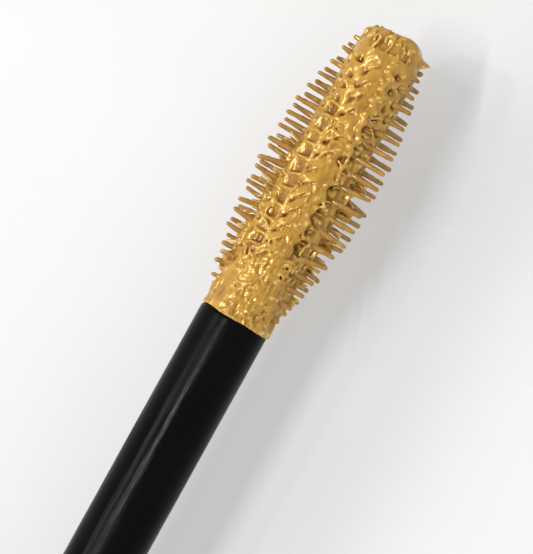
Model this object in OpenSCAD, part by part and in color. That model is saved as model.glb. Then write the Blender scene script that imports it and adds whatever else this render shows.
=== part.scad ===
// Mascara with a moulded bristle brush, lying uncapped on its side.
// The axis runs along +X, from the bottle's base, out of its mouth, along the brush and the rod,
// and on to the cap's top. The bottle and the cap both rest on the surface at Z = 0.
// Stations on the bottle are measured from its base, stations on the wand from the cap's mouth,
// and stations on the brush from the rod's end.

/* [Body] */
// Outside diameter of the bottle and of the cap
body_d = 17; // [17:0.1:20]
// Length of the bottle from its base to its shoulder
bottle_l = 67; // [67:1:80]
// Length of the cap
cap_l = 55; // [50:1:70]
// Wall of the two outer shells
shell_wall = 0.6; // [0.5:0.05:0.6]
// Length of the metallised ring on the shoulder and of the one on the cap
ring_l = 4; // [3:0.5:6]
// Length of product that stands in the vial
fill_l = 40; // [20:1:50]

/* [Neck] */
// Height of the neck above the shoulder
neck_l = 13; // [12:0.5:16]
// Inside diameter of the neck
neck_bore_d = 9.6; // [9.5:0.1:9.8]
// Wall of the neck under its thread
neck_wall = 1.1; // [1:0.05:1.15]
// Pitch of the interrupted thread
thread_pitch = 3.2; // [3.1:0.1:3.4]
// Angle that one thread lug covers
lug_span = 80; // [60:5:80]
// Angle that the cap turns through to lock
lock_turn = 90; // [90]
// Diameter of the wiper's lip
wiper_lip_d = 4.7; // [4.4:0.1:4.8]

/* [Wand] */
// Diameter of the rod
rod_d = 5.1; // [4.8:0.1:5.2]
// Length of rod that shows between the cap and the brush
rod_l = 34; // [28:1:34]
// Free distance between the brush's tip and the bottle's mouth when the wand is out
open_gap = 10; // [5:1:30]

/* [Brush] */
// Length of the brush with the product on it
brush_l = 22.7; // [22:0.1:23]
// Width over the bristles of the two long sides, if they stood straight out
brush_w = 8.7; // [7:0.1:8.8]
// Thickness over the short bristles of its flatter sides
brush_t = 5.2; // [5:0.1:8]
// How much the bristle radius falls with the square of the distance from the longest row
brush_taper = 0.0158; // [0.01:0.001:0.018]
// Station of the longest row of bristles
brush_middle = 11; // [9:0.5:13]
// Number of bristle columns around the core
columns = 12; // [12]
// Number of bristles in one column
rows = 18; // [10:1:18]
// Distance between two bristles of one column
bristle_pitch = 1.116; // [1:0.01:1.12]
// Station of the last row of the columns that reach furthest
last_row = 20.9; // [20.5:0.1:21]
// Diameter of a bristle at its root
bristle_root_d = 0.46; // [0.3:0.02:0.5]
// Diameter of a bristle at its tip
bristle_tip_d = 0.26; // [0.1:0.02:0.28]
// Angle that the flexible brush leans away from the rod's axis
brush_lean = 1.2; // [0:0.1:1.5]

/* [Hidden] */

// Roundness of the large turned pieces and of the small ones
large_fn = 96;
small_fn = 48;
bristle_fn = 16;

// Clearance of a press fit, and the gap that is left where two flat faces meet
press_gap = 0.05;
face_gap = 0.02;

body_r = body_d / 2;
shell_bore_r = body_r - shell_wall;
inner_r = shell_bore_r - press_gap;

// Base plug: a flange that closes the bottle and a hollow spigot inside the shell
plug_flange = 1.6;
plug_spigot = 4;
plug_wall = 1.2;
label_r = 6.3;
label_depth = 0.2;
label_t = 0.15;
edge_r = 0.4;

// Vial: a thin-walled tube whose shoulder draws in to the neck
vial_r = inner_r - 0.15;
vial_wall = 1;
vial_floor = 1.2;
vial_base = plug_flange + plug_spigot + face_gap;
bead_h = inner_r - vial_r;
bead_w = 1.2;
collar_lip = 1;
shoulder = bottle_l - collar_lip - face_gap;
inner_shoulder = shoulder - 3.6;
neck_bore_r = neck_bore_d / 2;
neck_r = neck_bore_r + neck_wall;
neck_top = bottle_l + neck_l;

// Wiper: a flanged sleeve in the neck whose cone ends in a soft lip
wiper_flange = 0.8;
wiper_flange_r = neck_r - 0.3;
wiper_wall = 0.7;
wiper_r = neck_bore_r - press_gap;
wiper_cone_top = neck_top - 9.5;
wiper_cone_l = 5;
wiper_lip_t = 0.4;
bottle_end = neck_top + wiper_flange;

// Product in the vial, with the channel that the brush has cut in it
channel_r = 5;
fill_floor = 0.7;
fill_base = vial_base + vial_floor;

// Thread: lugs of one right-hand helix, broken by two slots that the other part's lugs pass through
thread_root_w = 1.1;
thread_crest_w = 0.6;
thread_embed = 0.25;
thread_h = 0.8;
thread_play = 0.25;
lugs = 4;
lug_steps = 16;
lug_fade = 20;
neck_thread_base = bottle_l + 2.6;
liner_bore_r = neck_r + thread_h + thread_play;

// Cap, measured from its mouth
mouth_gap = 0.2;
washer_t = 1;
washer_clear = 0.3;
washer_face = bottle_end - bottle_l - mouth_gap + press_gap;
web_face = washer_face + washer_t + press_gap;
web_t = 2;
socket_wall = 1.2;
rod_r = rod_d / 2;
rod_head_r = rod_r + 0.7;
rod_head_l = 8;
socket_top = web_face + web_t + rod_head_l;
liner_top = socket_top + 0.4;
weight_l = 12;
weight_bore_r = 3;
cap_roof = 1;
cap_rim_h = 0.8;
cap_rim_w = 1.2;

// Brush
core_r = 1.15;
tail_r = 1;
tail_l = 8;
sleeve_bore_r = core_r + press_gap;
sleeve_flat_r = 1.7;
sleeve_l = last_row + 0.8;
core_l = sleeve_l - 0.9;
column_turn = 360 / columns;
// The first column stands this far round from straight up, and the others follow it the same way
first_column = 19;
// Bristles that stand within this angle of a long side's middle have their full length
long_side_turn = 20;
bristle_sink = 0.15;
coat_bore_r = sleeve_flat_r / cos(180 / columns) + face_gap;

// Stations of the wand when it is out of the bottle
brush_tip_x = bottle_end + open_gap;
rod_end_x = brush_tip_x + brush_l;
cap_mouth_x = rod_end_x + rod_l;
total_l = cap_mouth_x + cap_l;

// Places a piece drawn along +Z on the common axis, with its zero at station x from the bottle's base
module on_axis(x) {
  translate([x - total_l / 2, 0, body_r]) rotate([0, 90, 0]) children();
}

// Places a piece drawn along +Z, from the rod's end towards the tip, with the brush's lean
module on_brush() {
  on_axis(rod_end_x) rotate([brush_lean, 0, 0]) rotate([0, 180, 0]) children();
}

// Solid of revolution about Z from an outline of [radius, height] points
module turned(outline, fn = large_fn) {
  rotate_extrude($fn = fn) polygon(outline);
}

// Plain tube from height z0 to height z1
module tube(outer_r, bore_r, z0, z1, fn = large_fn) {
  turned([[bore_r, z0], [outer_r, z0], [outer_r, z1], [bore_r, z1]], fn);
}

// Quarter of a circle about [r, z], from angle a0 to angle a1
function arc(r, z, radius, a0, a1, n = 4) =
  [for (i = [0:n]) let (a = a0 + (a1 - a0) * i / n) [r + radius * cos(a), z + radius * sin(a)]];

// One lug of a helical thread: a ridge from the root radius to the crest radius that fades at both ends
module thread_lug(root_r, crest_r, start, span, base) {
  outward = crest_r > root_r;
  points = [
    for (i = [0:lug_steps])
      let (
        swept = span * i / lug_steps,
        a = start + swept,
        z = base + thread_pitch * a / 360,
        fade = min(1, min(swept, span - swept) / lug_fade),
        r = root_r + (crest_r - root_r) * (0.4 + 0.6 * fade)
      )
      each [
        [root_r * cos(a), root_r * sin(a), z - thread_root_w / 2],
        [r * cos(a), r * sin(a), z - thread_crest_w / 2],
        [r * cos(a), r * sin(a), z + thread_crest_w / 2],
        [root_r * cos(a), root_r * sin(a), z + thread_root_w / 2]
      ]
  ];
  last = 4 * lug_steps;
  sides = [
    for (i = [0:lug_steps - 1], k = [0:3])
      let (p = 4 * i + k, q = 4 * i + (k + 1) % 4)
      each [[p, q + 4, q], [p, p + 4, q + 4]]
  ];
  faces = concat([[0, 1, 2, 3]], sides, [[last + 3, last + 2, last + 1, last]]);
  polyhedron(points, outward ? [for (f = faces) [for (j = [len(f) - 1:-1:0]) f[j]]] : faces);
}

// All lugs of one thread, half a turn apart up the helix
module thread(root_r, crest_r, base) {
  for (i = [0:lugs - 1]) thread_lug(root_r, crest_r, 180 * i, lug_span, base);
}

// ---- Bottle ----

// Moulded vial with centring beads and a threaded neck
module bottle_vial() {
  color([0.14, 0.13, 0.13]) on_axis(0) {
    difference() {
      union() {
        turned([[0, vial_base], [vial_r, vial_base], [vial_r, shoulder], [neck_r, shoulder],
                [neck_r, neck_top - edge_r], [neck_r - edge_r, neck_top], [0, neck_top]]);
        for (z = [vial_base + 6, shoulder - 12]) {
          turned([[vial_r - 0.2, z], [vial_r, z], [vial_r + bead_h, z + bead_w / 3],
                  [vial_r + bead_h, z + bead_w * 2 / 3], [vial_r, z + bead_w], [vial_r - 0.2, z + bead_w]]);
        }
      }
      turned([[0, fill_base], [vial_r - vial_wall, fill_base], [vial_r - vial_wall, inner_shoulder],
              [neck_bore_r, inner_shoulder + 2], [neck_bore_r, neck_top + 1], [0, neck_top + 1]]);
    }
    thread(neck_r - thread_embed, neck_r + thread_h, neck_thread_base);
  }
}

// Outer sleeve of the bottle
module bottle_shell() {
  color([0.09, 0.085, 0.08]) on_axis(0)
    tube(body_r, shell_bore_r, plug_flange + face_gap, bottle_l - ring_l - face_gap);
}

// Pressed plug that closes the base, with a shallow recess for the label
module base_plug() {
  top = plug_flange + plug_spigot;
  color([0.12, 0.11, 0.11]) on_axis(0)
    turned(concat(
      [[0, label_depth], [label_r + 0.1, label_depth], [label_r + 0.1, 0]],
      arc(body_r - edge_r, edge_r, edge_r, -90, 0),
      [[body_r, plug_flange], [inner_r, plug_flange], [inner_r, top - 0.3], [inner_r - 0.3, top],
       [inner_r - plug_wall, top], [inner_r - plug_wall, plug_flange], [0, plug_flange]]
    ));
}

// Blank round label in the base's recess
module shade_label() {
  color([0.83, 0.66, 0.3]) on_axis(label_depth - label_t)
    cylinder(r = label_r, h = label_t, $fn = large_fn);
}

// Metallised ring that covers the shoulder and holds the vial down in the shell
module shoulder_collar() {
  color([0.83, 0.66, 0.3]) on_axis(0)
    turned(concat(
      [[vial_r + press_gap, bottle_l - ring_l], [body_r, bottle_l - ring_l]],
      arc(body_r - edge_r, bottle_l - edge_r, edge_r, 0, 90),
      [[neck_r + 0.1, bottle_l], [neck_r + 0.1, bottle_l - collar_lip],
       [vial_r + press_gap, bottle_l - collar_lip]]
    ));
}

// Flexible sleeve in the neck whose lip scrapes the brush and the rod
module wiper() {
  bore_r = wiper_r - wiper_wall;
  lip_r = wiper_lip_d / 2;
  lip_z = wiper_cone_top - wiper_cone_l;
  color([0.85, 0.83, 0.78]) on_axis(0)
    turned([
      [lip_r, lip_z], [lip_r + wiper_lip_t, lip_z], [wiper_r, wiper_cone_top], [wiper_r, neck_top + face_gap],
      [wiper_flange_r, neck_top + face_gap], [wiper_flange_r, bottle_end], [bore_r + 0.4, bottle_end],
      [bore_r, bottle_end - 0.4], [bore_r, wiper_cone_top], [lip_r, lip_z + wiper_lip_t]
    ]);
}

// Product left on the vial's floor and wall around the channel that the brush cuts
module product_fill() {
  fill_r = vial_r - vial_wall - face_gap;
  base = fill_base + face_gap;
  color([0.78, 0.6, 0.26]) on_axis(0)
    turned([
      [0, base], [fill_r, base], [fill_r, fill_base + fill_l + 0.6], [channel_r + 0.3, fill_base + fill_l],
      [channel_r, fill_base + fill_l - 0.5], [channel_r, base + fill_floor], [0, base + fill_floor]
    ]);
}

// ---- Cap and wand ----

// Foam washer under the cap's web that seals against the wiper's flange
module seal_washer() {
  color([0.92, 0.91, 0.88]) on_axis(cap_mouth_x)
    tube(liner_bore_r - washer_clear, rod_r + washer_clear, washer_face, washer_face + washer_t);
}

// Outer sleeve of the cap, closed by a roof with a rim around the top disc
module cap_shell() {
  color([0.09, 0.085, 0.08]) on_axis(cap_mouth_x)
    turned(concat(
      [[shell_bore_r, ring_l + face_gap], [body_r, ring_l + face_gap]],
      arc(body_r - edge_r, cap_l - edge_r, edge_r, 0, 90),
      [[body_r - cap_rim_w, cap_l], [body_r - cap_rim_w, cap_l - cap_rim_h], [0, cap_l - cap_rim_h],
       [0, cap_l - cap_rim_h - cap_roof], [shell_bore_r, cap_l - cap_rim_h - cap_roof]]
    ));
}

// Inner cap: threaded skirt, web, and the socket that holds the rod's head
module cap_liner() {
  socket_r = rod_head_r + press_gap;
  color([0.12, 0.11, 0.11]) on_axis(cap_mouth_x) {
    turned([
      [liner_bore_r + 0.3, 0], [inner_r, 0], [inner_r, liner_top], [inner_r - 1, liner_top],
      [inner_r - 1, web_face + web_t], [socket_r + socket_wall, web_face + web_t],
      [socket_r + socket_wall, socket_top], [socket_r, socket_top], [socket_r, web_face + web_t],
      [rod_r + press_gap, web_face + web_t], [rod_r + press_gap, web_face], [liner_bore_r, web_face],
      [liner_bore_r, 0.3]
    ]);
    // The lugs stand turned back by the locking angle, so that they enter through the neck's slots
    rotate([0, 0, lock_turn])
      thread(liner_bore_r + thread_embed, liner_bore_r - thread_h,
             neck_thread_base - bottle_l - mouth_gap - thread_pitch / 2);
  }
}

// Metallised band at the cap's mouth
module cap_ring() {
  color([0.83, 0.66, 0.3]) on_axis(cap_mouth_x)
    turned(concat(
      [[shell_bore_r, ring_l], [shell_bore_r, 0]],
      arc(body_r - edge_r, edge_r, edge_r, -90, 0),
      [[body_r, ring_l]]
    ));
}

// Steel slug that gives the cap its weight
module cap_weight() {
  color([0.55, 0.55, 0.56]) on_axis(cap_mouth_x)
    tube(inner_r, weight_bore_r, liner_top + face_gap, liner_top + face_gap + weight_l);
}

// Metallised disc set in the cap's top
module cap_top_disc() {
  disc_t = cap_rim_h - 0.1;
  disc_r = body_r - cap_rim_w - press_gap;
  color([0.83, 0.66, 0.3]) on_axis(cap_mouth_x + cap_l - cap_rim_h + face_gap)
    turned([[0, 0], [disc_r, 0], [disc_r, disc_t - 0.25], [disc_r - 0.25, disc_t], [0, disc_t]]);
}

// Rod with a head that the liner's web holds back, and a blind hole for the brush's tail
module wand_rod() {
  round_r = 0.3;
  head = web_face + web_t + face_gap;
  color([0.09, 0.085, 0.08]) on_axis(cap_mouth_x)
    turned(concat(
      [[tail_r + press_gap, tail_l + 0.5 - rod_l], [tail_r + press_gap, -rod_l]],
      arc(rod_r - round_r, round_r - rod_l, round_r, -90, 0),
      [[rod_r, head], [rod_head_r, head], [rod_head_r, head + rod_head_l - 0.8],
       [rod_head_r - 0.5, head + rod_head_l - 0.3], [0, head + rod_head_l - 0.3],
       [0, tail_l + 0.5 - rod_l]]
    ), small_fn);
}

// Stiff core of the brush, with the tail that is pressed into the rod
module brush_core() {
  color([0.12, 0.11, 0.11]) {
    on_brush() turned([[0, 0], [core_r, 0], [core_r, core_l - 0.4], [core_r - 0.4, core_l], [0, core_l]], small_fn);
    on_axis(rod_end_x) turned([[0, -0.1], [tail_r * 0.9, -0.1], [tail_r, 0.2], [tail_r, tail_l - 0.4],
                               [tail_r - 0.4, tail_l], [0, tail_l]], small_fn);
  }
}

// Angle of a column from straight up
function column_angle(column) = first_column + column_turn * column;

// Radius over the bristles at a station of the brush and an angle from straight up
function bristle_reach(s, angle) =
  let (half_w = brush_w / 2 - brush_taper * pow(s - brush_middle, 2), half_t = brush_t / 2)
  half_t + (half_w - half_t) * min(1, pow(sin(angle) / cos(long_side_turn), 6));

// Station of a bristle: every second column is set back by half a pitch
function bristle_station(column, row) = last_row - bristle_pitch * (row + (column % 2) / 2);

// Soft moulded sleeve with its bristles; each column stands on one flat of the sleeve
module bristle_sleeve() {
  color([0.8, 0.62, 0.28]) on_brush() {
    difference() {
      rotate([0, 0, -first_column - column_turn / 2])
        cylinder(r = sleeve_flat_r / cos(180 / columns), h = sleeve_l, $fn = columns);
      translate([0, 0, -1]) cylinder(r = sleeve_bore_r, h = core_l + face_gap + 1, $fn = small_fn);
    }
    for (column = [0:columns - 1], row = [0:rows - 1]) {
      s = bristle_station(column, row);
      rotate([0, 0, -column_angle(column)])
        translate([sleeve_flat_r - bristle_sink, 0, s])
          rotate([0, 90, 0])
            cylinder(
              r1 = bristle_root_d / 2, r2 = bristle_tip_d / 2,
              h = bristle_reach(s, column_angle(column)) - sleeve_flat_r + bristle_sink, $fn = bristle_fn
            );
    }
  }
}

// Product that fills the roots of the bristles and hangs on the tip
module product_coat() {
  color([0.8, 0.62, 0.28]) on_brush()
    turned([
      [coat_bore_r, 0.1], [2.3, 0.1], [2.5, 0.6], [2.5, 2], [2.4, 7], [2.35, 20.5],
      [2.1, 21.8], [1.4, brush_l - 0.2], [0, brush_l], [0, sleeve_l + face_gap], [coat_bore_r, sleeve_l + face_gap]
    ], small_fn);
}

bottle_vial();
bottle_shell();
base_plug();
shade_label();
shoulder_collar();
wiper();
product_fill();
seal_washer();
cap_shell();
cap_liner();
cap_ring();
cap_weight();
cap_top_disc();
wand_rod();
brush_core();
bristle_sleeve();
product_coat();
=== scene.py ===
"""Looks of the mascara: the product on the brush, the bristles, and the finish of every piece."""
import math

import bpy
import numpy as np
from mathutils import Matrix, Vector


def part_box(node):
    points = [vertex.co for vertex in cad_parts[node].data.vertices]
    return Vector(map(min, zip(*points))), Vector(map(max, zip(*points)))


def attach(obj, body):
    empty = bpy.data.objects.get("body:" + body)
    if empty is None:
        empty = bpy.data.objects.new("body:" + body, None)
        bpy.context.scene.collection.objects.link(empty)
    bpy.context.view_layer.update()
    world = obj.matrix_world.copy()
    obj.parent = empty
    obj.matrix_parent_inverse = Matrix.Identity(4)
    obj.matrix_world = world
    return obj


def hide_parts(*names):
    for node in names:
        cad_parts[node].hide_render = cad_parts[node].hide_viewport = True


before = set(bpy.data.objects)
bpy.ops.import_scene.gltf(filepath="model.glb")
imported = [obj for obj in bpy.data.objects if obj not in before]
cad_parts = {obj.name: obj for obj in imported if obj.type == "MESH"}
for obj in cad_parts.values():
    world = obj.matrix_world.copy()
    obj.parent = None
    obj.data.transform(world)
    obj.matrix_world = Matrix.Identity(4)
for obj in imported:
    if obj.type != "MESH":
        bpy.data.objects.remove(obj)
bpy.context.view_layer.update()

MM = 0.001
SEED = 20

# ---- Measures of the frame, in millimetres ----

rod_low, rod_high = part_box("wand_rod")
ROD_END = rod_low[0] / MM
AXIS_Z = (rod_low[2] + rod_high[2]) / 2 / MM
BRUSH_L = 22.7
BRUSH_LEAN = math.radians(1.2)

# Bristles: the columns stand round the axis at equal angles from straight up towards -Y,
# and every second column is set back by half a pitch
COLUMNS = 12
ROWS = 18
FIRST_COLUMN = 19
COLUMN_TURN = 360 / COLUMNS
PITCH = 1.116
LAST_ROW = 20.9
BRUSH_R = 4.35
LONG_SIDE_TURN = 20
BRUSH_HALF_T = 2.6
BRUSH_TAPER = 0.0158
BRUSH_MIDDLE = 11
# Bristles with a smaller sine stand on the flatter sides, where the product covers them
LONG_SIDE_SINE = 0.85
# Up to this station the bristles are loose, and strands of product fill the gaps between them
CROWDED_END = 12.5

# Mass of product on the tip: a barrel with a blunt end
GLOB_HALF_L = 1.45
GLOB_HALF_D = 2.15
GLOB_POWER = 3.5
GLOB_MIDDLE = BRUSH_L - 1.6

# Grid step of the product's surface, and the triangles that it may keep
GRID_STEP = 0.06
MOST_TRIANGLES = 185000
# Distance over which the surface is averaged, to tell hollows from crests
AVERAGE_REACH = 0.8
# Separate scraps of surface with fewer quads than this are dropped
SMALLEST_SCRAP = 400

# Loose pieces of product: strands on each long side, and strings over the whole brush
STRANDS = 48
STRINGS = 120
CREST_POINTS = 34
# Points of the crest that lie high and regular, counted from the tip
EVEN_POINTS = 12


def brush_to_world(points):
    """Turns [station, side, up] in the brush's own frame into metres in the shared frame."""
    s, side, up = np.asarray(points, float).T
    cos, sin = math.cos(BRUSH_LEAN), math.sin(BRUSH_LEAN)
    x = ROD_END - s * cos - side * sin
    y = s * sin - side * cos
    z = AXIS_Z + up
    return np.stack([x, y, z], 1) * MM


def around(angle, radius, station):
    """Point of the brush's frame at an angle from straight up, in degrees, and a radius."""
    a = math.radians(angle)
    return np.array([station, radius * math.sin(a), radius * math.cos(a)])


def bristle_reach(station, angle):
    """Radius over the bristles: full on the two long sides, and low on the flatter ones."""
    half_w = BRUSH_R - BRUSH_TAPER * (station - BRUSH_MIDDLE) ** 2
    sine = math.sin(math.radians(angle)) / math.cos(math.radians(LONG_SIDE_TURN))
    return BRUSH_HALF_T + (half_w - BRUSH_HALF_T) * min(1, sine ** 6)


def bristle_spots():
    """Column, angle and station of every bristle."""
    for column in range(COLUMNS):
        for row in range(ROWS):
            yield column, FIRST_COLUMN + COLUMN_TURN * column, LAST_ROW - PITCH * (row + column % 2 / 2)


# ---- Signed distance field of the product ----


def soft_min(a, b, soft):
    """The smaller of two distances, rounded off where they are nearly equal."""
    h = np.clip(0.5 + 0.5 * (b - a) / soft, 0, 1)
    return b + (a - b) * h - soft * h * (1 - h)


class Field:
    """Signed distances on a grid, in millimetres, negative inside the product."""

    def __init__(self, low, high, step):
        self.low = np.array(low, float)
        self.step = step
        counts = np.ceil((np.array(high) - self.low) / step).astype(int) + 1
        self.s, self.side, self.up = (
            (self.low[i] + step * np.arange(counts[i])).reshape([-1 if i == k else 1 for k in range(3)])
            for i in range(3)
        )
        self.values = np.full(counts, 9.0)

    def window(self, low, high):
        """Slices of the grid that hold the box between two points."""
        first = np.maximum(np.floor((np.array(low) - self.low) / self.step).astype(int), 0)
        last = np.ceil((np.array(high) - self.low) / self.step).astype(int) + 1
        last = np.minimum(last, self.values.shape)
        return tuple(slice(a, max(a, b)) for a, b in zip(first, last))

    def grid(self, part):
        """Coordinates of a window of the grid."""
        return self.s[part[0]], self.side[:, part[1]], self.up[:, :, part[2]]

    def blend(self, part, distance, soft, cut=False):
        """Joins a shape to a window of the product, or cuts it away where the distance is negative."""
        now = self.values[part]
        self.values[part] = -soft_min(-now, distance, soft) if cut else soft_min(now, distance, soft)

    def rod(self, a, b, radius_a, radius_b, soft):
        """Adds a tapered rod with round ends."""
        margin = max(radius_a, radius_b) + soft
        part = self.window(np.minimum(a, b) - margin, np.maximum(a, b) + margin)
        s, side, up = self.grid(part)
        run = b - a
        s, side, up = s - a[0], side - a[1], up - a[2]
        t = np.clip((s * run[0] + side * run[1] + up * run[2]) / max(run @ run, 1e-9), 0, 1)
        away = (s - t * run[0]) ** 2 + (side - t * run[1]) ** 2 + (up - t * run[2]) ** 2
        self.blend(part, np.sqrt(away) - (radius_a + (radius_b - radius_a) * t), soft)

    def path(self, points, radii, soft):
        """Adds a string through the points."""
        for i in range(len(points) - 1):
            self.rod(points[i], points[i + 1], radii[i], radii[i + 1], soft)

    def hollow(self, centre, angle, half_sizes, soft):
        """Cuts away an ellipsoid with half sizes along the brush, around it and outwards."""
        margin = max(half_sizes) + soft
        part = self.window(centre - margin, centre + margin)
        s, side, up = self.grid(part)
        cos, sin = math.cos(math.radians(angle)), math.sin(math.radians(angle))
        out = (side - centre[1]) * sin + (up - centre[2]) * cos
        round_ = (side - centre[1]) * cos - (up - centre[2]) * sin
        a, b, c = half_sizes
        scaled = np.sqrt(((s - centre[0]) / a) ** 2 + (round_ / b) ** 2 + (out / c) ** 2)
        self.blend(part, (scaled - 1) * min(half_sizes), soft, cut=True)

    def surface(self):
        """Vertices and quads where the distance is zero, one vertex in every cell that it crosses."""
        f = self.values
        cells = np.array(f.shape) - 1
        owners, places, quads = [], [], []
        for axis in range(3):
            before = [slice(None)] * 3
            after = [slice(None)] * 3
            before[axis], after[axis] = slice(None, -1), slice(1, None)
            low, high = f[tuple(before)], f[tuple(after)]
            found = np.argwhere((low < 0) != (high < 0))
            others = [k for k in range(3) if k != axis]
            keep = np.all((found[:, others] > 0) & (found[:, others] < cells[others]), 1)
            found = found[keep]
            a, b = low[tuple(found.T)], high[tuple(found.T)]
            place = found.astype(float)
            place[:, axis] += a / (a - b)
            ring = []
            for da, db in ((0, 0), (1, 0), (1, 1), (0, 1)):
                cell = found.copy()
                cell[:, others[0]] -= da
                cell[:, others[1]] -= db
                ring.append(np.ravel_multi_index(tuple(cell.T), tuple(cells)))
            ring = np.stack(ring, 1)
            flip = (a < 0) == (axis == 1)
            ring[flip] = ring[flip][:, ::-1]
            quads.append(ring)
            owners.append(ring.ravel())
            places.append(np.repeat(place, 4, 0))
        owners = np.concatenate(owners)
        places = np.concatenate(places)
        ids, index = np.unique(owners, return_inverse=True)
        total = np.bincount(index, minlength=len(ids)).astype(float)
        points = np.stack([np.bincount(index, places[:, k], len(ids)) / total for k in range(3)], 1)
        return self.low + points * self.step, index.reshape(-1, 4)


def value_noise(rng, points, cell):
    """Smooth random values between 0 and 1 over the points, with features of the given size."""
    low = points.min(0) - cell
    size = np.ceil((points.max(0) - low) / cell).astype(int) + 3
    lattice = rng.random(size)
    place = (points - low) / cell
    base = np.floor(place).astype(int)
    t = place - base
    t = t * t * (3 - 2 * t)
    total = 0
    for corner in np.ndindex(2, 2, 2):
        weight = np.prod(np.where(np.array(corner) == 1, t, 1 - t), 1)
        total = total + weight * lattice[tuple((base + corner).T)]
    return total


def body_radius(s, angle):
    """Radius of the smooth mass of product that fills the bristles' roots."""
    a = np.radians(angle)
    high_side = np.clip(np.sin(a), 0, 1) ** 2
    low_side = np.clip(-np.sin(a), 0, 1) ** 2
    near_rod = np.exp(-np.maximum(s, 0) / 1.3)
    return 2.43 - 0.08 * high_side + 0.1 * low_side + (0.1 - 0.05 * low_side) * near_rod


def radius_at(station, angle):
    """Radius of the smooth mass at one place."""
    return float(body_radius(np.float64(station), np.float64(angle)))


def calm(station):
    """Goes from 0 near the rod, where the product lies in strings, to 1 along the even rows."""
    return np.clip((station - 2.5) / 3, 0, 1)


def soft_step(x, start, stop):
    """Rises smoothly from 0 at the start to 1 at the stop."""
    t = np.clip((x - start) / (stop - start), 0, 1)
    return t * t * (3 - 2 * t)


def soft_box(x, half, wall):
    """1 within a half width of zero, with walls of the given softness."""
    return 0.5 * (np.tanh((x + half) / wall) - np.tanh((x - half) / wall))


def ridges(values):
    """Turns smooth noise between 0 and 1 into thin crests."""
    return (1 - np.abs(2 * values - 1)) ** 4


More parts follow.
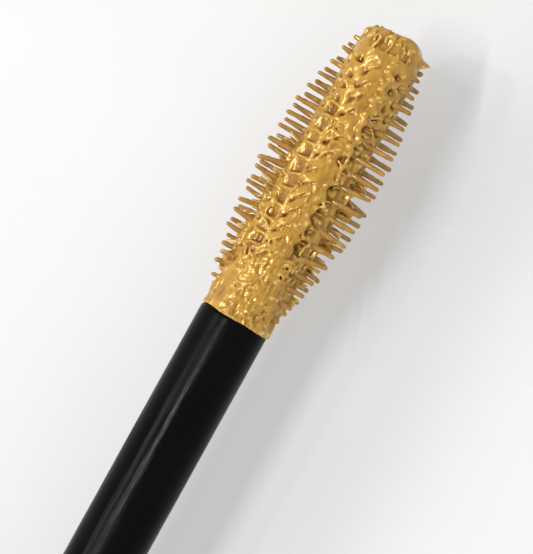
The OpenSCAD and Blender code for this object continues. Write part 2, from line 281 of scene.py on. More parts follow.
class Relief:
    """Radius of the product's surface over station and angle.

    Each kind of feature is a row along the brush at a column's angle, with one in every pitch. The
    setback moves the row towards the rod. Sizes, depths and stations are in millimetres."""

    MEAN_R = 2.4
    MOST_STEPS = 41
    FADE = 0.8

    def __init__(self, rng, stations, angles):
        self.rng = rng
        self.s, self.angle = np.meshgrid(stations, angles, indexing="ij")
        a = np.radians(self.angle)
        flat = [self.s, self.MEAN_R * np.sin(a), self.MEAN_R * np.cos(a)]
        self.places = np.stack(flat, -1).reshape(-1, 3)
        self.radius = body_radius(self.s, self.angle)
        # The rows wander a little
        self.row_s = self.s + 0.42 * (self.noise(1.1) - 0.5) + 0.12 * (self.noise(0.4) - 0.5)
        self.row_angle = self.angle + 7 * (self.noise(1.3) - 0.5) + 3.5 * (self.noise(0.4) - 0.5)

    def noise(self, cell, stretch=1.0, skew=0.0, warp=0.0):
        """Smooth noise. The skew leans its grain round the brush, the stretch draws it out along the
        brush, and the warp bends it."""
        places = self.places.copy()
        if warp:
            shift = np.stack([value_noise(self.rng, self.places, 4 * cell) for _ in range(3)], 1)
            places += warp * (shift - 0.5)
        places[:, 0] = (places[:, 0] + skew * places[:, 1]) / stretch
        return value_noise(self.rng, places, cell).reshape(self.s.shape)

    def across(self, angle):
        """Millimetres round the brush from a column's angle."""
        return np.radians((self.row_angle - angle + 180) % 360 - 180) * self.MEAN_R

    def steps(self, setback):
        """Number of every pitch from the tip, and the place in it from 0 at the rod side to 1."""
        turns = (LAST_ROW - setback - self.row_s) / PITCH
        number = np.clip(np.floor(turns).astype(int), 0, self.MOST_STEPS - 1)
        return number, 1 - (turns - np.floor(turns))

    def band(self, start, stop):
        """1 between two stations, with soft ends."""
        rise = soft_step(self.s, start, start + self.FADE)
        return rise * (1 - soft_step(self.s, stop - self.FADE, stop))

    def uniform(self, low, high, number):
        """A random value for every step of a row."""
        return self.rng.uniform(low, high, self.MOST_STEPS)[number]

    def spread(self, deviation, number):
        """A random shift for every step of a row."""
        return self.rng.normal(0, deviation, self.MOST_STEPS)[number]

    def windows(self, angle, start, stop):
        """Even boxes with a steep wall on the rod's side and a floor that rises towards the tip."""
        number, place = self.steps(0.2)
        depth = self.uniform(0.34, 0.5, number)
        along = soft_step(place, 0.0, 0.22) * (1 - soft_step(place, 0.78, 1.0)) * (1 - 0.55 * place)
        side = self.across(angle) + self.spread(0.06, number)
        box = soft_box(side, self.uniform(0.46, 0.58, number), 0.14)
        self.radius -= depth * along * box * self.band(start, stop)

    def dents(self, angle, setback, start, stop, size, depth, run_out=1.0):
        """A row of soft dents, one in every pitch, steeper on the rod's side.
        Where run_out is above 1, they trail off down the brush's flank."""
        number, place = self.steps(setback)
        depths = self.uniform(0.6, 1.15, number) * depth
        offset = (place - 0.5) * PITCH + self.spread(0.05, number)
        side = self.across(angle) + self.spread(0.07, number)
        wide = self.uniform(0.85, 1.15, number) * size[0] * np.where(offset < 0, 0.7, 1.25)
        tall = self.uniform(0.85, 1.2, number) * size[1]
        tall = tall * np.where(side < 0, run_out, 1)
        hollow = np.exp(-((offset / wide) ** 2 + (side / tall) ** 2))
        self.radius -= depths * hollow * self.band(start, stop)

    def arches(self, angle, setback, start, stop, size, depth):
        """Shallow caves over the feet of bristles, each with a crease round its upper side."""
        number, place = self.steps(setback)
        depths = self.uniform(0.5, 1.2, number) * depth
        reach = self.uniform(0.85, 1.2, number) * size
        offset = (place - 0.5) * PITCH + self.spread(0.06, number)
        side = self.across(angle) + self.spread(0.1, number)
        away = np.sqrt(offset ** 2 + np.minimum(side, 0.5 * side) ** 2)
        crease = np.exp(-(((away - reach) / 0.16) ** 2)) * soft_step(side, -0.5, 0.15)
        cave = np.exp(-((offset / (0.75 * reach)) ** 4 + ((side + 0.1) / 0.3) ** 2))
        self.radius -= (depths * crease + 0.2 * cave) * self.band(start, stop)

    def slanted_panels(self, angle, start, stop):
        """Smooth panels that overlap like scales, with edges that run slantwise."""
        turns = (LAST_ROW - 0.5 - self.row_s - 0.95 * self.across(angle)) / PITCH
        number = np.clip(np.floor(turns).astype(int) + 6, 0, self.MOST_STEPS - 1)
        place = 1 - (turns - np.floor(turns))
        saw = soft_step(place, 0.0, 0.2) * (1 - place)
        height = self.uniform(0.22, 0.42, number)
        box = soft_box(self.across(angle), 0.5, 0.16)
        self.radius += height * (saw - 0.35) * box * self.band(start, stop)

    def wrinkles(self):
        """Feathery crests on the flatter sides, a rougher mass near the rod, and slow swells."""
        flatter = np.abs(np.cos(np.radians(self.angle + 6))) ** 6
        tip = 1 - 0.7 * soft_step(self.s, 12, 15)
        rough = 1 - 0.75 * calm(self.s)
        feather = 0
        for skew in (0.6, -0.7, 0.15):
            patch = soft_step(self.noise(1.2), 0.45, 0.65)
            feather = feather + patch * ridges(self.noise(0.26, 2.6, skew, 0.5))
        self.radius += 0.08 * feather * (0.15 + 0.85 * flatter) * tip
        self.radius += rough * 0.16 * ridges(self.noise(0.4, 3.0, 0.15, 0.7))
        self.radius += rough * 0.12 * (self.noise(0.5, 1.6) - 0.5)
        self.radius += 0.16 * (self.noise(0.9) - 0.5) + 0.02 * (self.noise(0.2) - 0.5)


def product_relief(rng, stations, angles):
    """The rows of the visible side, repeated on the other."""
    relief = Relief(rng, stations, angles)
    half = PITCH / 2
    for side in (0, 180):
        relief.windows(43 + side, 3.8, 16.8)
        relief.dents(42 + side, 0.2 + half, 16.0, 20.6, (0.22, 0.24), 0.5)
        relief.slanted_panels(12 + side, 3.5, 20.5)
        relief.dents(20 + side, 0.1, 5.0, 20.0, (0.3, 0.26), 0.3)
        relief.arches(-50 + side, 0.1 + half, 3.5, 16.5, 0.42, 0.34)
        relief.dents(-36 + side, half, 13.5, 20.5, (0.3, 0.26), 0.36, 1.8)
        relief.dents(-32 + side, 0.1, 4.0, 14.0, (0.36, 0.2), 0.26)
        relief.dents(-55 + side, 0.1, 13.0, 20.5, (0.24, 0.24), 0.36)
        relief.dents(68 + side, 0.0, 3.0, 20.5, (0.26, 0.24), 0.3)
        relief.dents(-75 + side, 0.1 + half, 3.0, 20.5, (0.26, 0.3), 0.36)
    relief.wrinkles()
    return relief.radius


def add_bristle_roots(field, rng):
    """Cones of product up the bristles of the two long sides, and webs between neighbours."""
    for _column, angle, station in bristle_spots():
        r = radius_at(station, angle)
        reach = bristle_reach(station, angle)
        if abs(math.sin(math.radians(angle))) < LONG_SIDE_SINE or reach < r + 0.2:
            continue
        highest = 0.5 if station < CROWDED_END else 0.25
        top = min(r + rng.uniform(0.1, highest), reach - 0.15)
        field.rod(around(angle, r - 0.5, station), around(angle, top, station), 0.34, 0.13, 0.16)
        if rng.random() < 0.8 and 3 < station < CROWDED_END:
            height = min(r + rng.uniform(0.0, 0.5), reach - 0.3)
            for level in np.arange(r - 0.1, height, 0.2):
                a = around(angle, level, station)
                low = level - rng.uniform(0.15, 0.3)
                sag = around(angle, low, station - rng.uniform(0.4, 0.7) * PITCH)
                b = around(angle + rng.normal(0, 3), level - 0.1, station - PITCH)
                field.path((a, sag, b), (0.14, 0.12, 0.14), 0.15)


def add_strands(field, rng):
    """Strands of product that stick up between the crowded bristles of the two long sides."""
    for side in (90, -90):
        for _ in range(STRANDS):
            station = rng.uniform(2.6, 12.8)
            spin = side + rng.normal(0, 8)
            r = radius_at(station, spin)
            tip = r + (bristle_reach(station, side) - r) * rng.uniform(0.25, 0.85)
            if tip < r + 0.15:
                continue
            top = around(spin + rng.normal(0, 4), tip, station + rng.normal(0, 0.22))
            field.rod(around(spin, r - 0.1, station), top, 0.16, rng.uniform(0.07, 0.1), 0.1)


def add_strings(field, rng):
    """Thin strings of product that lie over the rest, most of them near the rod."""
    for _ in range(STRINGS):
        station = rng.uniform(0.3, 20.5) if rng.random() < 0.45 else rng.uniform(0.3, 5.0)
        spin = rng.normal(-10, 26) if rng.random() < 0.65 else rng.uniform(0, 360)
        heading = rng.normal(0, 0.35)
        stride = rng.uniform(0.14, 0.22)
        points = []
        for _step in range(rng.integers(4, 11)):
            r = radius_at(station, spin) + rng.uniform(-0.03, 0.05)
            points.append(around(spin, r, station))
            heading += rng.normal(0, 0.45)
            station += stride * math.cos(heading)
            spin += math.degrees(stride * math.sin(heading) / r)
        thick = rng.uniform(0.045, 0.08)
        field.path(points, [thick] * len(points), 0.14)


def add_zigzag(field, rng):
    """Crest of product that zigzags between two neighbouring columns, high near the tip."""
    for side in (0, 180):
        points = []
        for i in range(CREST_POINTS):
            even = i < EVEN_POINTS
            station = 20.4 - PITCH / 2 * i + rng.normal(0, 0.09)
            spin = (-17 if i % 2 else -27) + side + rng.normal(0, 3 if even else 6)
            rise = rng.uniform(0.0, 0.12) if even else rng.uniform(-0.2, 0.08)
            points.append(around(spin, radius_at(station, spin) + rise, station))
        radii = [rng.uniform(0.11, 0.19) * (1 if i <= EVEN_POINTS else 0.6) for i in range(CREST_POINTS)]
        field.path(points, radii, 0.22)


# Angles of the folds that run back from the tip's end
FOLDS = (52, 30, 6, -12, -36, -62, 85, 130, 170, 215, 250)
# Draped folds on the tip: angle, station, half length along the brush, and half width in degrees
DRAPES = (
    (10, 21.5, 0.72, 8), (-15, 21.6, 0.62, 9), (34, 21.2, 0.7, 6),
    (-38, 21.1, 0.85, 6), (170, 21.5, 0.7, 8), (205, 21.4, 0.8, 7),
)
# Points of the drip: angle, radius, distance back from the tip, and thickness
DRIP = ((-70, 1.6, 1.15, 0.5), (-84, 2.1, 1.2, 0.3), (-88, 2.55, 1.1, 0.12), (-89, 3.0, 0.98, 0.03))


def on_glob(spin, station):
    """Point on the mass at the tip, at an angle and a station."""
    rest = max(1 - abs((station - GLOB_MIDDLE) / GLOB_HALF_L) ** GLOB_POWER, 0.1)
    return around(spin, GLOB_HALF_D * rest ** (1 / GLOB_POWER), station)


def add_glob(field, rng):
    """The mass that hangs on the tip, with a blunt end, its folds and its drip."""
    s = field.s - GLOB_MIDDLE + 0.06 * field.side
    ripple = 0.07 * np.sin(2.6 * field.side + 1) + 0.06 * np.sin(3.4 * field.up)
    radius = np.sqrt((field.side + 0.06) ** 2 + field.up ** 2) / GLOB_HALF_D
    scaled = np.abs((s + ripple) / GLOB_HALF_L) ** GLOB_POWER + radius ** GLOB_POWER
    field.values = soft_min(field.values, (scaled ** (1 / GLOB_POWER) - 1) * GLOB_HALF_L, 0.35)
    # Folds that run back from the end
    for spin in FOLDS:
        stations = [GLOB_MIDDLE + GLOB_HALF_L * t for t in (0.86, 0.45, 0.0)]
        line = [on_glob(spin + rng.normal(0, 4), station) for station in stations]
        line.append(around(spin + rng.normal(0, 6), 2.36, GLOB_MIDDLE - rng.uniform(0.7, 1.5)))
        field.path(line, [0.1, rng.uniform(0.14, 0.2), 0.14, 0.06], 0.1)
    # Thin draped folds, open towards the rod, with a shallow hollow inside each
    for spin, station, wide, tall in DRAPES:
        inside = (0.7 * wide, 0.8 * math.radians(tall) * GLOB_HALF_D, 0.06)
        field.hollow(on_glob(spin, station), spin, inside, 0.2)
        drape = []
        lean = rng.uniform(-0.5, 0.5)
        for turn in np.linspace(-1.9, 1.5, 8):
            at = station + wide * (math.cos(turn) * rng.uniform(0.8, 1.15) + lean * math.sin(turn))
            drape.append(on_glob(spin + tall * math.sin(turn) * rng.uniform(0.6, 1.3), at))
        field.path(drape, np.linspace(0.04, 0.11, len(drape)), 0.1)
    drip = [around(spin, radius, BRUSH_L - back) for spin, radius, back, _thick in DRIP]
    field.path(drip, [thick for _spin, _radius, _back, thick in DRIP], 0.3)


def product_field(rng):
    """The whole of the product: its relief, and everything that hangs on it."""
    half = 3.5
    field = Field([-0.35, -half, -half], [BRUSH_L + 0.4, half, half], GRID_STEP)
    radius = np.sqrt(field.side ** 2 + field.up ** 2)
    angle = np.degrees(np.arctan2(field.side, field.up))
    s = field.s
    # Relief at whole degrees, read between them
    table = product_relief(rng, s[:, 0, 0], np.arange(360.0))
    turn = angle[0] % 360
    low = np.floor(turn).astype(int) % 360
    part = turn - np.floor(turn)
    field.values = radius - (table[:, low] * (1 - part) + table[:, (low + 1) % 360] * part)
    field.level = averaged(table)
    # The filled part ends where the mass on the tip is thickest
    flat = 0 * radius
    field.values = -soft_min(-field.values, GLOB_MIDDLE - s + flat, 1.0)
    add_bristle_roots(field, rng)
    add_strands(field, rng)
    add_zigzag(field, rng)
    add_strings(field, rng)
    add_glob(field, rng)
    # The product ends at the rod, where it laps a little over the rim
    edge = s + 0.12 + 0.06 * np.cos(np.radians(angle + 90)) + 0.03 * np.sin(np.radians(5 * angle))
    field.values = -soft_min(-field.values, edge + flat, 0.06)
    return field


def averaged(table):
    """The relief's table of stations and degrees, averaged over the same distance to every side."""
    reach = round(AVERAGE_REACH / GRID_STEP)
    rows = np.pad(table, ((reach, reach), (0, 0)), "edge")
    rows = sum(rows[i:i + len(table)] for i in range(2 * reach + 1)) / (2 * reach + 1)
    degrees = math.ceil(math.degrees(AVERAGE_REACH / Relief.MEAN_R))
    turns = range(-degrees, degrees + 1)
    return sum(np.roll(rows, turn, 1) for turn in turns) / len(turns)


def mark_depth(product, field):
    """Keeps on every vertex how far it lies below the average surface near it, in millimetres."""
    count = len(product.data.vertices)
    places = np.empty(3 * count)
    product.data.vertices.foreach_get("co", places)
    x, y, z = places.reshape(-1, 3).T / MM
    cos, sin = math.cos(BRUSH_LEAN), math.sin(BRUSH_LEAN)
    s = (ROD_END - x) * cos + y * sin
    side = (ROD_END - x) * sin - y * cos
    up = z - AXIS_Z
    row = np.clip(((s - field.low[0]) / field.step).astype(int), 0, len(field.level) - 1)
    angle = np.degrees(np.arctan2(side, up)).astype(int) % 360
    depth = field.level[row, angle] - np.hypot(side, up)
    depth[s > GLOB_MIDDLE - 1] = 0
    # This depth sets the painted shade in the product's hollows
    product.data.attributes.new("depth", "FLOAT", "POINT").data.foreach_set("value", depth)


def mesh_object(name, points, faces):
    """Smooth object from vertices in metres and faces."""
    mesh = bpy.data.meshes.new(name)
    mesh.from_pydata([tuple(p) for p in points], [], [tuple(int(i) for i in f) for f in faces])
    mesh.polygons.foreach_set("use_smooth", [True] * len(mesh.polygons))
    mesh.update()
    made = bpy.data.objects.new(name, mesh)
    bpy.context.scene.collection.objects.link(made)
    return made


def tidy_islands(points, quads, smallest):
    """Drops separate scraps of surface that have fewer quads than the smallest size."""
    parent = np.arange(len(points))
    for _ in range(200):
        low = parent[quads].min(1)
        before = parent.copy()
        for k in range(4):
            np.minimum.at(parent, quads[:, k], low)
        parent = parent[parent]
        if np.array_equal(before, parent):
            break
    island = parent[quads[:, 0]]
    names, counts = np.unique(island, return_counts=True)
    keep = np.isin(island, names[counts >= smallest])
    used, index = np.unique(quads[keep], return_inverse=True)
    return points[used], index.reshape(-1, 4)


def make_product(rng):
    """The product on the brush, thinned to its number of triangles."""
    field = product_field(rng)
    points, quads = field.surface()
    points, quads = tidy_islands(points, quads, SMALLEST_SCRAP)
    product = mesh_object("brush_product", brush_to_world(points), quads)
    thin = product.modifiers.new("thin", "DECIMATE")
    thin.ratio = min(MOST_TRIANGLES / (2 * len(quads)), 1)
    bpy.context.view_layer.objects.active = product
    bpy.ops.object.modifier_apply(modifier=thin.name)
    product.data.validate()
    product.data.polygons.foreach_set("use_smooth", [True] * len(product.data.polygons))
    mark_depth(product, field)
    return product


BRISTLE_SIDES = 10
BRISTLE_RINGS = 9
# Latitudes of the rings on a bristle's round tip, in radians
TIP_RINGS = (0.5, 1.0, 1.35)
# Radius at which a bristle starts, inside the product
FOOT_R = 1.6
# Least and greatest radius of a bristle at its root and at its tip
ROOT_RADII = (0.26, 0.3)
TIP_RADII = (0.15, 0.18)
# Column whose feet are drawn aside, and with it the one opposite, and how far
DRAWN_COLUMN = 3
DRAWN_ASIDE = 0.55


def make_bristles(rng):
    """Every bristle as a tapered, slightly bent rod with a round tip, wet with product."""
    points, faces = [], []
    for column, angle0, station in bristle_spots():
        spin = angle0 + rng.normal(0, 1.4)
        reach = max(bristle_reach(station, angle0) + rng.normal(0, 0.06), 2.0)
        foot = around(spin, FOOT_R, station)
        # The product holds the feet of one column on each long side over to the flatter side
        drawn = DRAWN_ASIDE if column % (COLUMNS // 2) == DRAWN_COLUMN else 0
        foot = foot + around(spin + 90, drawn, 0)
        loose = 0.17 if station < CROWDED_END else 0.06
        bend = around(spin + 90, rng.normal(0, 0.08) - drawn, rng.normal(0, loose))
        if abs(math.sin(math.radians(spin))) < LONG_SIDE_SINE:
            reach = min(reach, radius_at(station, spin) - 0.1)
        out = around(spin, 1, 0)
        across = around(spin + 90, 1, 0)
        along = np.array([1.0, 0, 0])
        tip_r = rng.uniform(*TIP_RADII)
        root_r = rng.uniform(*ROOT_RADII)
        length = reach - FOOT_R
        start = len(points)
        steps = [(i / BRISTLE_RINGS * (length - tip_r), None) for i in range(BRISTLE_RINGS + 1)]
        steps += [(length - tip_r + tip_r * math.sin(a), a) for a in TIP_RINGS]
        for height, a in steps:
            t = height / length
            r = root_r + (tip_r - root_r) * min(t * 1.15, 1)
            r = r * rng.uniform(0.88, 1.1) if a is None else tip_r * math.cos(a)
            centre = foot + out * height + bend * t * t
            for k in range(BRISTLE_SIDES):
                turn = 2 * math.pi * k / BRISTLE_SIDES
                points.append(centre + r * (across * math.cos(turn) + along * math.sin(turn)))
        for ring in range(len(steps) - 1):
            for k in range(BRISTLE_SIDES):
                a = start + ring * BRISTLE_SIDES + k
                b = start + ring * BRISTLE_SIDES + (k + 1) % BRISTLE_SIDES
                faces.append((a, a + BRISTLE_SIDES, b + BRISTLE_SIDES, b))
        last = start + (len(steps) - 1) * BRISTLE_SIDES
        faces.append(tuple(last + k for k in reversed(range(BRISTLE_SIDES))))
        faces.append(tuple(start + k for k in range(BRISTLE_SIDES)))
    return mesh_object("bristles", brush_to_world(points), faces)


# ---- Materials ----


def new_material(name, **settings):
    """Principled material with constants on its sockets, with its node tree and its shader."""
    material = bpy.data.materials.new(name)
    material.use_nodes = True
    tree = material.node_tree
    shader = tree.nodes["Principled BSDF"]
    for socket, value in settings.items():
        shader.inputs[socket.replace("_", " ")].default_value = value
    return material, tree, shader


def add(tree, kind, **inputs):
    """Node with constants on its inputs."""
    node = tree.nodes.new(kind)
    for name, value in inputs.items():
        node.inputs[name.replace("_", " ")].default_value = value
    return node


def ramp(tree, source, stops):
    """Colour ramp over a value."""
    node = tree.nodes.new("ShaderNodeValToRGB")
    while len(node.color_ramp.elements) < len(stops):
        node.color_ramp.elements.new(0.5)
    for element, (place, colour) in zip(node.color_ramp.elements, stops):
        element.position = place
        element.color = (*colour, 1) if len(colour) == 3 else (*colour * 3, 1)
    tree.links.new(source, node.inputs["Fac"])
    return node.outputs["Color"]


def mix_colours(tree, first, second, factor=1.0, blend="MIX"):
    """Lays the second colour over the first. The second and the factor are sockets or constants."""
    node = tree.nodes.new("ShaderNodeMix")
    node.data_type = "RGBA"
    node.blend_type = blend
    # Sockets of this node for colours: 0 is the factor, 6 and 7 are the colours, 2 is the result
    for socket, value in ((0, factor), (6, first), (7, second)):
        if isinstance(value, bpy.types.NodeSocket):
            tree.links.new(value, node.inputs[socket])
        else:
            node.inputs[socket].default_value = value
    return node.outputs[2]


def object_place(tree):
    """Coordinates in metres that stay with the object."""
    return tree.nodes.new("ShaderNodeTexCoord").outputs["Object"]


def noise(tree, coordinates, scale, detail=4, roughness=0.5):
    node = add(tree, "ShaderNodeTexNoise", Scale=scale, Detail=detail, Roughness=roughness)
    tree.links.new(coordinates, node.inputs["Vector"])
    return node.outputs["Fac"]


def bump(tree, shader, height, strength, distance):
    """Fine relief on a shader from a height, with its depth in metres."""
    node = add(tree, "ShaderNodeBump", Strength=strength, Distance=distance)
    tree.links.new(height, node.inputs["Height"])
    tree.links.new(node.outputs["Normal"], shader.inputs["Normal"])


# The paste's own tones, over a fine noise
PASTE_TONES = [(0.3, (0.33, 0.163, 0.015)), (0.5, (0.39, 0.204, 0.021)), (0.7, (0.45, 0.25, 0.033))]
# Painted highlight on the thin crests, a cream tone, and its share over the pointiness
PAINTED_CREST_HIGHLIGHT = (0.8, 0.58, 0.24, 1)
CREST_HIGHLIGHT_SHARE = [(0.53, (0.0,)), (0.6, (0.5,))]
# Painted shade over the depth in millimetres below the average surface, darker in the deeper hollows
PAINTED_DEPTH_SHADE = [
    (0.02, (1, 1, 1)), (0.1, (0.84, 0.78, 0.64)), (0.22, (0.54, 0.45, 0.28)), (0.4, (0.3, 0.22, 0.1)),
]
# Painted shade in the hollows and painted highlight on the crests, over the pointiness, which is 0.5
# where the surface is flat
HOLLOW_SHADE_AND_CREST_HIGHLIGHT = [
    (0.42, (0.34, 0.23, 0.11)), (0.47, (0.72, 0.62, 0.48)), (0.5, (1, 1, 1)), (0.58, (1.12, 1.16, 1.3)),
]
# How far red, green and blue light spreads in the product, and the size of that spread in metres
SPREAD = (1, 0.4, 0.1)
SPREAD_SCALE = 0.0004


def product_material():
    """Glossy gold paste, with painted shade in its hollows and a painted highlight on its thin crests.
    """
    material, tree, shader = new_material(
        "gold_product", Metallic=0.15, Specular_IOR_Level=0.85, Specular_Tint=(1, 0.9, 0.62, 1),
        Subsurface_Weight=0.2, Subsurface_Radius=SPREAD, Subsurface_Scale=SPREAD_SCALE)
    where = object_place(tree)
    pointed = tree.nodes.new("ShaderNodeNewGeometry").outputs["Pointiness"]
    depth = tree.nodes.new("ShaderNodeAttribute")
    depth.attribute_name = "depth"
    colour = ramp(tree, noise(tree, where, 900, 5, 0.6), PASTE_TONES)
    # Painted shade in the hollows and painted highlight on the crests, from the pointiness
    colour = mix_colours(tree, colour, ramp(tree, pointed, HOLLOW_SHADE_AND_CREST_HIGHLIGHT), blend="MULTIPLY")
    # Painted shade, darker where the surface lies deeper below its average
    colour = mix_colours(tree, colour, ramp(tree, depth.outputs["Fac"], PAINTED_DEPTH_SHADE), blend="MULTIPLY")
    # Painted highlight: a cream tone laid over the thin crests
    colour = mix_colours(tree, colour, PAINTED_CREST_HIGHLIGHT, ramp(tree, pointed, CREST_HIGHLIGHT_SHARE))
    tree.links.new(colour, shader.inputs["Base Color"])
    gloss = ramp(tree, noise(tree, where, 2500, 3), [(0.3, (0.07,)), (0.7, (0.18,))])
    tree.links.new(gloss, shader.inputs["Roughness"])
    bump(tree, shader, noise(tree, where, 3000, 3, 0.5), 0.1, 0.00006)
    return material


def stretched(tree, coordinates, scale):
    """Coordinates drawn out differently along X, Y and Z."""
    node = tree.nodes.new("ShaderNodeMapping")
    node.inputs["Scale"].default_value = scale
    tree.links.new(coordinates, node.inputs["Vector"])
    return node.outputs["Vector"]


def finish(name, tones, gloss, grain=900, gloss_grain=700, texture=None, draw=(1, 1, 1), **settings):
    """Material with a noisy colour between the tones, uneven gloss, and a fine surface texture.

    The texture is its grain, strength and depth in metres. The draw stretches every pattern."""
    material, tree, shader = new_material(name, **settings)
    where = stretched(tree, object_place(tree), draw)
    stops = [(0.3 + 0.4 * i / (len(tones) - 1), tone) for i, tone in enumerate(tones)]
    colour = ramp(tree, noise(tree, where, grain, 5, 0.6), stops)
    tree.links.new(colour, shader.inputs["Base Color"])
    shine = noise(tree, where, gloss_grain, 5, 0.6)
    shine = ramp(tree, shine, [(0.35, (gloss[0],)), (0.65, (gloss[1],))])
    tree.links.new(shine, shader.inputs["Roughness"])
    if texture:
        bump(tree, shader, noise(tree, where, texture[0], 4, 0.55), texture[1], texture[2])
    return material, tree, shader, colour


def bristle_material():
    """Moulded plastic under a thin coat of the product."""
    tones = [(0.19, 0.088, 0.01), (0.29, 0.142, 0.016), (0.4, 0.21, 0.028)]
    return finish("coated_bristle", tones, (0.12, 0.28), 1400, 2500, (2200, 0.25, 0.00006),
                  Specular_IOR_Level=0.9, Specular_Tint=(1, 0.93, 0.7, 1), Subsurface_Weight=0.3,
                  Subsurface_Radius=SPREAD, Subsurface_Scale=SPREAD_SCALE)[0]


def rod_material():
    """Black moulded rod with fine scratches along it and the smudges of handling."""
    tones = [(0.0008, 0.0008, 0.0009), (0.0016, 0.0016, 0.0016)]
    material, tree, shader, _colour = finish("black_rod", tones, (0.12, 0.42), 500, 420,
                                             draw=(0.35, 1, 1), Specular_IOR_Level=0.055)
    scratches = noise(tree, stretched(tree, object_place(tree), (0.05, 1, 1)), 5000, 3, 0.6)
    bump(tree, shader, scratches, 0.35, 0.00004)
    return material


SMEAR = (0.6, 0.33, 0.036, 1)
# Millimetres over which the edge of a smear wanders
SMEAR_WANDER = 2.4


def smear(made, inner, outer):
    """Lays product over a material where it lies near the bottle's axis.

    It covers up to the inner radius and fades out to the outer one, both in millimetres."""
    material, tree, shader, colour = made
    where = object_place(tree)
    flat = tree.nodes.new("ShaderNodeVectorMath")
    flat.operation = "MULTIPLY_ADD"
    flat.inputs[1].default_value = (0, 1 / MM, 1 / MM)
    flat.inputs[2].default_value = (0, 0, -AXIS_Z)
    tree.links.new(where, flat.inputs[0])
    radius = tree.nodes.new("ShaderNodeVectorMath")
    radius.operation = "LENGTH"
    tree.links.new(flat.outputs["Vector"], radius.inputs[0])
    uneven = tree.nodes.new("ShaderNodeMath")
    uneven.operation = "MULTIPLY_ADD"
    uneven.inputs[1].default_value = SMEAR_WANDER
    tree.links.new(noise(tree, where, 420, 4, 0.6), uneven.inputs[0])
    tree.links.new(radius.outputs["Value"], uneven.inputs[2])
    cover = add(tree, "ShaderNodeMapRange", From_Min=inner + SMEAR_WANDER / 2,
                From_Max=outer + SMEAR_WANDER / 2, To_Min=1, To_Max=0)
    tree.links.new(uneven.outputs["Value"], cover.inputs["Value"])
    covered = mix_colours(tree, colour, SMEAR, cover.outputs["Result"])
    tree.links.new(covered, shader.inputs["Base Color"])
    return material


# Tones from dark to light
LACQUER = [(0.0025, 0.0025, 0.0028), (0.004, 0.004, 0.0043), (0.006, 0.006, 0.0063)]
BLACK_PLASTIC = [(0.008, 0.008, 0.009), (0.016, 0.016, 0.017)]
GOLD = [(0.76, 0.5, 0.19), (0.84, 0.59, 0.26), (0.88, 0.65, 0.32)]
STEEL = [(0.42, 0.42, 0.43), (0.56, 0.56, 0.56), (0.66, 0.65, 0.64)]
MILKY = [(0.66, 0.65, 0.6), (0.78, 0.77, 0.73)]
PAPER = [(0.7, 0.68, 0.63), (0.77, 0.75, 0.7), (0.82, 0.81, 0.77)]
FOAM = [(0.62, 0.62, 0.6), (0.78, 0.78, 0.76)]
# Stretch that draws a pattern round a turned piece, across its axis
TURNED = (1, 0.02, 0.02)


def node_materials():
    """Finish of every CAD node that shows as it is."""
    lacquer = finish("satin_lacquer", LACQUER, (0.2, 0.28), 90, 140, (1500, 0.1, 0.00003),
                     Specular_IOR_Level=0.16, Coat_Weight=0.08, Coat_Roughness=0.08)[0]
    plastic = finish("black_plastic", BLACK_PLASTIC, (0.35, 0.55), 400, 600, (3500, 0.3, 0.00004))[0]
    gold_ring = finish("anodised_gold", GOLD, (0.16, 0.3), 3000, 9000, (9000, 0.2, 0.00001), TURNED,
                       Metallic=1.0)[0]
    steel = finish("zinc_steel", STEEL, (0.28, 0.5), 900, 4000, (6000, 0.3, 0.00002), TURNED,
                   Metallic=0.95)[0]
    milky = finish("milky_plastic", MILKY, (0.3, 0.45), 500, 800, (2500, 0.2, 0.00003),
                   Subsurface_Weight=0.3, Subsurface_Scale=0.001)[0]
    vial = smear(finish("clear_vial", MILKY, (0.12, 0.22), 300, 500, (1200, 0.15, 0.00003),
                        Transmission_Weight=0.5, IOR=1.52), 3.4, 4.9)
    rubber = smear(finish("wiper_elastomer", MILKY, (0.3, 0.5), 500, 900, (2600, 0.25, 0.00004),
                          Subsurface_Weight=0.4, Subsurface_Scale=0.001), 3.3, 4.6)
    foam = finish("washer_foam", FOAM, (0.7, 0.9), 2500, 2500, (2600, 0.8, 0.0001))[0]
    paper = finish("label_paper", PAPER, (0.5, 0.7), 2600, 2600, (4200, 0.5, 0.00003), (0.35, 1, 1))[0]
    fill = product_material()
    return {
        "bottle_vial": vial, "bottle_shell": lacquer, "base_plug": plastic, "shade_label": paper,
        "shoulder_collar": gold_ring, "wiper": rubber, "product_fill": fill, "seal_washer": foam,
        "cap_shell": lacquer, "cap_liner": milky, "cap_ring": gold_ring, "cap_weight": steel,
        "cap_top_disc": gold_ring, "wand_rod": rod_material(), "brush_core": plastic,
    }


# ---- Camera, floor and light ----

# Longer side of the picture in millimetres, and the turn that slants the brush in it
VIEW_L = 38.2
VIEW_TURN = math.radians(28.95)
# Middle of the picture, measured from the rod's end towards the tip and from the axis towards +Y
VIEW_S, VIEW_Y = 3.52, 0.49
LENS = 200
SENSOR = 36

# Area lights: place, length, width and power, all of them aimed at the origin
LIGHTS = {
    "key": ((0.35, -0.95, 0.66), 1.0, 0.3, 6.5),
    "small_key": ((0.15, -0.55, 0.75), 0.06, 0.06, 0.9),
    "top_light": ((0.1, -0.27, 0.55), 0.3, 0.012, 1.5),
}
FLOOR_TONES = [(0.3, (0.62, 0.62, 0.62)), (0.7, (0.64, 0.64, 0.64))]


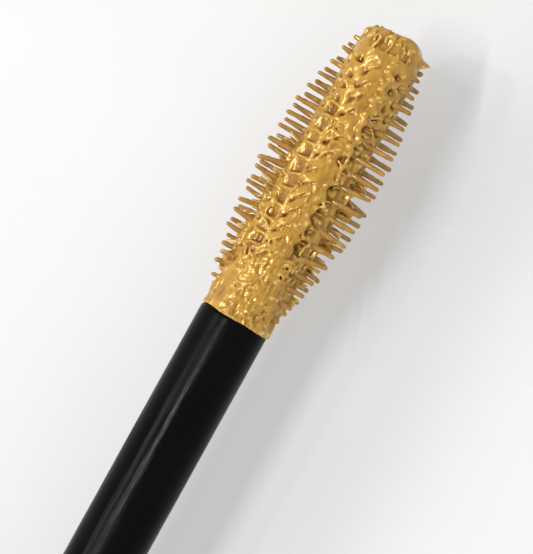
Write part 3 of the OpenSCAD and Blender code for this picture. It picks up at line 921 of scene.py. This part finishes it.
def make_camera():
    """Looks straight down on the brush, with the brush pointing up and to the right of the picture."""
    data = bpy.data.cameras.new("camera")
    data.lens = LENS
    data.sensor_width = SENSOR
    camera = bpy.data.objects.new("camera", data)
    bpy.context.scene.collection.objects.link(camera)
    distance = VIEW_L * LENS / SENSOR
    camera.location = ((ROD_END - VIEW_S) * MM, VIEW_Y * MM, (AXIS_Z + distance) * MM)
    # Straight down with the picture's up along -X, then turned so that the brush leans to the right
    camera.rotation_euler = (0, 0, math.pi / 2 + VIEW_TURN)
    data.clip_start = 0.01
    data.clip_end = 10
    bpy.context.scene.camera = camera


def area_light(name, place, length, width, power):
    """Rectangular light that is aimed at the origin."""
    data = bpy.data.lights.new(name, "AREA")
    data.shape = "RECTANGLE"
    data.size = length
    data.size_y = width
    data.energy = power
    light = bpy.data.objects.new(name, data)
    bpy.context.scene.collection.objects.link(light)
    light.location = place
    light.rotation_euler = (-Vector(place)).to_track_quat("-Z", "Y").to_euler()


def make_studio():
    """White floor, even white surroundings and the area lights."""
    bpy.ops.mesh.primitive_plane_add(size=4, location=(0, 0, 0))
    floor = bpy.context.object
    floor.name = "floor"
    material, tree, shader = new_material("floor", Roughness=0.7)
    colour = ramp(tree, noise(tree, object_place(tree), 40, 2), FLOOR_TONES)
    tree.links.new(colour, shader.inputs["Base Color"])
    floor.data.materials.append(material)
    world = bpy.data.worlds.new("studio")
    bpy.context.scene.world = world
    world.use_nodes = True
    background = world.node_tree.nodes["Background"]
    background.inputs["Color"].default_value = (1, 1, 1, 1)
    background.inputs["Strength"].default_value = 0.88
    for name, light in LIGHTS.items():
        area_light(name, *light)


bpy.context.scene.view_settings.view_transform = "Standard"
make_camera()
make_studio()

rng = np.random.default_rng(SEED)
product = make_product(rng)
bristles = make_bristles(rng)
product.data.materials.append(product_material())
bristles.data.materials.append(bristle_material())
for piece in (product, bristles):
    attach(piece, "wand")
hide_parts("product_coat")
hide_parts("bristle_sleeve")

for name, material in node_materials().items():
    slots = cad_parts[name].data.materials
    slots.clear()
    slots.append(material)
